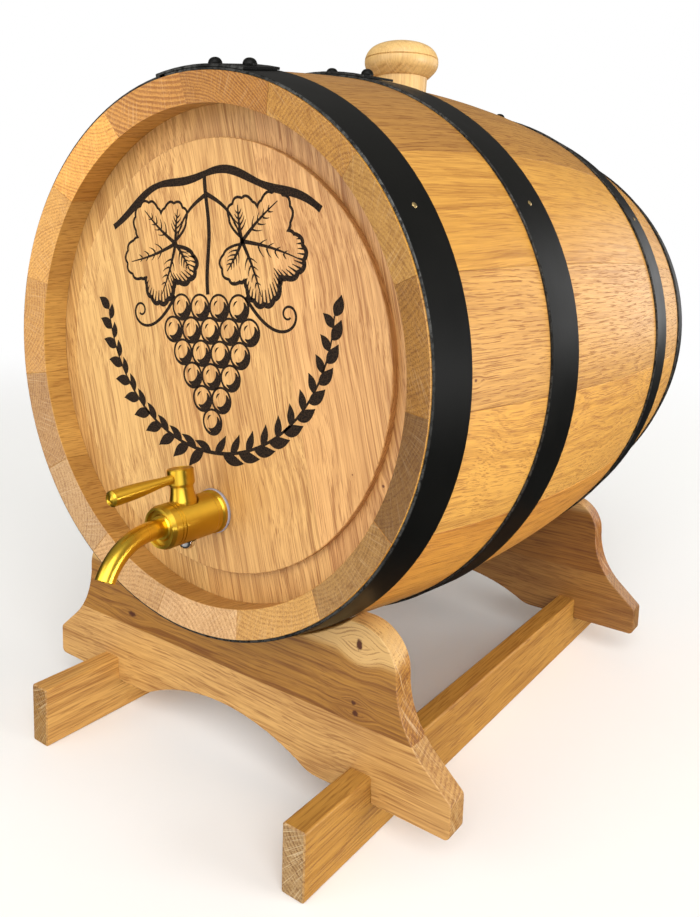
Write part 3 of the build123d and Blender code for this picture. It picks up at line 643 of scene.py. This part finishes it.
def stroke(points, widths, closed=False):
    """One burnt line: a thin strip along points in millimetres, right and up from the
    middle of the head, with a width at each point."""
    count = len(points)
    lift = next(lifts)
    rows = []
    for number, (point, width) in enumerate(zip(points, widths)):
        before = points[number - 1] if number or closed else point
        after = points[(number + 1) % count] if number < count - 1 or closed else point
        heading = (Vector(after) - Vector(before)).normalized()
        side = Vector((-heading.y, heading.x)) * width / 2
        row = []
        for edge, level in ((-1, lift), (1, lift), (1, -depth_in_wood), (-1, -depth_in_wood)):
            flat = Vector(point) + side * edge
            place = centre + (cask_side * flat.x + cask_up * flat.y) * mm
            place.y = panel_face - level * mm
            row.append(drawing.verts.new(place))
        rows.append(row)
    pairs = list(zip(rows, rows[1:]))
    if closed:
        pairs.append((rows[-1], rows[0]))
    else:
        drawing.faces.new(rows[0])
        drawing.faces.new(rows[-1][::-1])
    for first, second in pairs:
        for corner in range(4):
            beside = (corner + 1) % 4
            drawing.faces.new((first[beside], first[corner], second[corner], second[beside]))


def on_circle(middle, size, degrees):
    """Point at an angle on a circle."""
    turn = math.radians(degrees)
    return (middle[0] + size * math.cos(turn), middle[1] + size * math.sin(turn))


def arc_stroke(middle, size, start, stop, width):
    """A line along an arc, pointed at both ends."""
    steps = 24
    turns = [start + (stop - start) * step / steps for step in range(steps + 1)]
    stroke([on_circle(middle, size, turn) for turn in turns],
           [width * (0.15 + 0.85 * math.sin(math.pi * step / steps))
            for step in range(steps + 1)])


def pointed_line(start, stop, width, bow=0.0, steps=10):
    """A line from a thick start to a fine end, bowed sideways by a share of its length."""
    run = Vector(stop) - Vector(start)
    side = Vector((-run.y, run.x)) * bow
    shares = [step / steps for step in range(steps + 1)]
    stroke([tuple(Vector(start) + run * share + side * math.sin(math.pi * share))
            for share in shares],
           [width * (1 - 0.8 * share) for share in shares])


def blade(start, degrees, length, width):
    """A filled leaf blade, pointed at both ends and curved a little."""
    steps = 12
    shares = [step / steps for step in range(steps + 1)]
    stroke([on_circle(start, length * share, degrees + 14 * share) for share in shares],
           [max(0.2, width * math.sin(math.pi * share**0.8)) for share in shares])


def grape(middle, size):
    """A round berry with shade at its lower right and a glint at its upper left."""
    turns = [10 * step for step in range(36)]
    stroke([on_circle(middle, size, turn) for turn in turns],
           [1.3 + 0.7 * max(0, math.cos(math.radians(turn + 60))) for turn in turns], closed=True)
    arc_stroke(middle, size * 0.7, -130, 40, size * 0.55)
    arc_stroke(middle, size * 0.55, 105, 170, 1.0)


def vine_leaf(middle, degrees, size):
    """A five-lobed toothed leaf with branching veins and a heavy, hatched lower edge."""
    steps = 200
    shade_way = Vector((0.5, -0.86))
    outline = []
    shades = []
    for step in range(steps):
        turn = 2 * math.pi * step / steps
        lobes = 0.60 + 0.36 * abs(math.cos(2.5 * turn)) ** 0.7
        tooth = 0.045 * abs(math.sin(12.5 * turn))
        notch = 1 - 0.5 * math.exp(-(((turn - math.pi) / 0.26) ** 2))
        outline.append(on_circle(middle, size * (lobes + tooth) * notch,
                                 degrees + math.degrees(turn)))
        outward = Vector(on_circle((0, 0), 1, degrees + math.degrees(turn)))
        shades.append(max(0.0, outward.dot(shade_way)))
    stroke(outline, [1.5 + 1.6 * shade for shade in shades], closed=True)
    for point, shade in list(zip(outline, shades))[::3]:
        if shade > 0:
            inner = Vector(point).lerp(Vector(middle), 0.3 * shade)
            pointed_line(point, tuple(inner), 1.5, steps=3)
    base = on_circle(middle, size * 0.42, degrees + 180)
    for lobe, reach in ((0, 1.26), (52, 1.02), (-52, 1.02), (112, 0.62), (-112, 0.62)):
        tip = on_circle(base, size * reach, degrees + lobe)
        pointed_line(base, tip, 2.4, bow=0.03)
        for share in (0.3, 0.45, 0.6, 0.75):
            joint = Vector(base).lerp(Vector(tip), share)
            for side in (-1, 1):
                twig = on_circle(joint, size * 0.26 * (1.15 - share), degrees + lobe + 42 * side)
                pointed_line(tuple(joint), twig, 1.2, bow=0.08 * side)
    return base


def tendril(start, degrees, size, handed):
    """A curling tendril that winds into a spiral."""
    steps = 90
    place = Vector(start)
    heading = math.radians(degrees)
    points = []
    for step in range(steps):
        points.append(tuple(place))
        heading += handed * (0.01 + 0.3 * (step / steps) ** 2.6)
        place = place + Vector((math.cos(heading), math.sin(heading))) * size / steps
    stroke(points, [2.2 - 1.1 * step / steps for step in range(steps)])


def laurel(side):
    """Half a wreath: a curved stem with pairs of blades, crossing the other half below."""
    steps = 24
    turns = [270 + side * (-7 + step * 4) for step in range(steps)]
    stem = [on_circle(wreath_middle, wreath_size, turn) for turn in turns]
    stroke(stem, [2.2 - 0.06 * step for step in range(steps)])
    for step in range(3, steps, 2):
        heading = turns[step] + side * 90
        size = 17 - 0.25 * step
        blade(stem[step], heading - side * 32, size, 6.5)
        blade(stem[step - 1], heading + side * 32, size * 0.85, 5)


# The picture's layout, in millimetres right and up from the middle of the head.
wreath_middle = (0, 34)
wreath_size = 86
berry = 6.9
berry_gap = 2.12
row_gap = 1.84
bunch_top = 29
berries_in_row = (4, 5, 4, 3, 2, 1)
leaf_right, leaf_up, leaf_size, leaf_turn = 38, 61, 31, 104
stalk_start = (0, 90)
tendril_right, tendril_up, tendril_length = 27, 35, 66
cane_height = 101
cane_step = 3
cane_droop = 0.004
stem_width = 2.6

for row, count in enumerate(berries_in_row):
    for number in range(count):
        grape(((number - (count - 1) / 2) * berry_gap * berry, bunch_top - row * row_gap * berry),
              berry)
for side in (-1, 1):
    leaf_base = vine_leaf((side * leaf_right, leaf_up), 90 - side * leaf_turn, leaf_size)
    pointed_line(stalk_start, leaf_base, stem_width, bow=0.12 * side)
    tendril((side * tendril_right, tendril_up), 270 + side * 36, tendril_length, side)
    laurel(side)
cane_steps = range(-26, 27)
cane = [(cane_step * step,
         cane_height - cane_droop * (cane_step * step) ** 2 + 2 * math.sin(step / 3))
        for step in cane_steps]
stroke(cane, [3.4 + 1.2 * abs(math.sin(step / 4)) for step in cane_steps])
stem_heights = range(36, 103, 3)
stroke([(1.2 * math.sin(height / 9), height) for height in stem_heights],
       [stem_width] * len(stem_heights))

drawing_mesh = bpy.data.meshes.new("burnt_vine")
drawing.to_mesh(drawing_mesh)
drawing.free()
burnt_vine = bpy.data.objects.new("burnt_vine", drawing_mesh)
bpy.context.scene.collection.objects.link(burnt_vine)
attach(burnt_vine, "barrel")


def burnt_oak():
    """Charred wood, matt and slightly rough, browner where it is burnt less."""
    material, tree, shader = new_material("burnt_oak")
    coords = new_node(tree, "ShaderNodeTexCoord").outputs["Object"]
    char = noise_node(tree, coords, 1200.0, 3.0, 0.6)
    colour = mix_colour(tree, remap(tree, char, 0.35, 0.7), (0.006, 0.004, 0.003, 1),
                        (0.034, 0.019, 0.010, 1))
    raised = new_node(tree, "ShaderNodeBump",
                      inputs={"Strength": 0.3, "Distance": 0.0002, "Height": char})
    tree.links.new(colour, shader.inputs["Base Color"])
    tree.links.new(raised.outputs[0], shader.inputs["Normal"])
    shader.inputs["Roughness"].default_value = 0.9
    shader.inputs["Specular IOR Level"].default_value = 0.15
    return material


drawing_mesh.materials.append(burnt_oak())

# ---------------------------------------------------------------- floor

floor_half = 12.0
near_floor = 0.7
far_floor = 2.0


def pale_floor():
    """Pale matt paint that fades into the white surroundings far from the object."""
    material, tree, shader = new_material("floor_pale")
    shader.inputs["Base Color"].default_value = (0.92, 0.92, 0.91, 1)
    shader.inputs["Roughness"].default_value = 0.8
    coords = new_node(tree, "ShaderNodeTexCoord").outputs["Object"]
    fade = remap(tree, vector_node(tree, "LENGTH", coords), near_floor, far_floor)
    glow = new_node(tree, "ShaderNodeEmission")
    faded = new_node(tree, "ShaderNodeMixShader", inputs={
        0: fade, 1: shader.outputs[0], 2: glow.outputs[0]})
    output = next(node for node in tree.nodes if node.type == "OUTPUT_MATERIAL")
    tree.links.new(faded.outputs[0], output.inputs[0])
    return material


def make_floor():
    """A large flat floor that the object's glossy surfaces don't mirror."""
    mesh = bpy.data.meshes.new("floor")
    maker = bmesh.new()
    bmesh.ops.create_grid(maker, x_segments=1, y_segments=1, size=floor_half)
    maker.to_mesh(mesh)
    maker.free()
    mesh.materials.append(pale_floor())
    floor = bpy.data.objects.new("floor", mesh)
    bpy.context.scene.collection.objects.link(floor)
    floor.visible_glossy = False


make_floor()

# ---------------------------------------------------------------- light

def lamp_object(name, kind, offset, power, size=None, glossy=True, diffuse=True):
    """A lamp aimed at the middle of the cask; size is an area lamp's width and height."""
    lamp = bpy.data.lights.new(name, kind)
    lamp.energy = power
    if size:
        lamp.shape = "RECTANGLE"
        lamp.size, lamp.size_y = size
    holder = bpy.data.objects.new(name, lamp)
    offset = Vector(offset)
    holder.location = centre + offset
    holder.rotation_euler = (-offset).to_track_quat("-Z", "Y").to_euler()
    holder.visible_glossy = glossy
    holder.visible_diffuse = diffuse
    bpy.context.scene.collection.objects.link(holder)
    return lamp


daylight = lamp_object("daylight", "SUN", (1.5, -1.9, 1.6), 2.6)
daylight.angle = math.radians(55)
lamp_object("side_box", "AREA", (1.9, 0.3, 0.05), 34, (0.9, 1.6), glossy=False)
lamp_object("side_strip", "AREA", (1.9, 0.3, -0.1), 16, (0.9, 0.2), diffuse=False)
lamp_object("rear_box", "AREA", (0.9, 2.2, 0.35), 8, (1.2, 1.0))
lamp_object("front_box", "AREA", (-0.35, -1.25, 0.25), 7, (1.0, 1.2))

warm_white = (1, 0.97, 0.92, 1)
pure_white = (1, 1, 1, 1)


def make_surroundings():
    """White to the camera, and a weaker warm light to the object: brighter from above and,
    in its reflections, from the front."""
    world = bpy.data.worlds.new("studio")
    bpy.context.scene.world = world
    world.use_nodes = True
    sky = world.node_tree
    sky.nodes.clear()
    ray_kind = new_node(sky, "ShaderNodeLightPath").outputs
    sky_way = new_node(sky, "ShaderNodeSeparateXYZ", inputs={
        0: new_node(sky, "ShaderNodeTexCoord").outputs["Generated"]}).outputs
    sky_height = sky_way[2]
    front_glow = remap(sky, sky_way[1], -0.4, -0.95, 0.0, 0.55)
    top_glow = remap(sky, sky_height, 0.1, 0.9, 0.03, 0.35)
    sheen = new_node(sky, "ShaderNodeBackground", inputs={
        0: warm_white, 1: math_node(sky, "ADD", front_glow, top_glow)})
    fill = new_node(sky, "ShaderNodeBackground", inputs={
        0: warm_white, 1: remap(sky, sky_height, -0.25, 0.1, 0.1, 0.42)})
    shown = new_node(sky, "ShaderNodeBackground", inputs={0: pure_white, 1: 1.0})
    unseen = new_node(sky, "ShaderNodeMixShader", inputs={
        0: ray_kind["Is Glossy Ray"], 1: fill.outputs[0], 2: sheen.outputs[0]})
    both = new_node(sky, "ShaderNodeMixShader", inputs={
        0: ray_kind["Is Camera Ray"], 1: unseen.outputs[0], 2: shown.outputs[0]})
    new_node(sky, "ShaderNodeOutputWorld", inputs={0: both.outputs[0]})


make_surroundings()
bpy.context.scene.view_settings.view_transform = "Standard"

# ---------------------------------------------------------------- camera

camera_azimuth = math.radians(35.699)
camera_elevation = math.radians(8.094)
camera_roll = math.radians(1.666)
camera_offset = Vector((0.32647, -0.50614, 0.06198))
camera_lens = 32.525
camera_shift = -0.0982


def make_camera():
    """The camera, which looks down a little at the front head from its right."""
    data = bpy.data.cameras.new("camera")
    camera = bpy.data.objects.new("camera", data)
    bpy.context.scene.collection.objects.link(camera)
    bpy.context.scene.camera = camera
    forward = Vector((-math.sin(camera_azimuth) * math.cos(camera_elevation),
                      math.cos(camera_azimuth) * math.cos(camera_elevation),
                      -math.sin(camera_elevation)))
    right = Vector((math.cos(camera_azimuth), math.sin(camera_azimuth), 0))
    up = right.cross(forward)
    rolled_right = right * math.cos(camera_roll) + up * math.sin(camera_roll)
    rolled_up = up * math.cos(camera_roll) - right * math.sin(camera_roll)
    camera.location = centre + camera_offset
    camera.rotation_euler = Matrix((rolled_right, rolled_up, -forward)).transposed().to_euler()
    data.sensor_width = 36.0
    data.lens = camera_lens
    data.shift_y = camera_shift
    data.clip_start = 0.01
    data.clip_end = 50.0


make_camera()
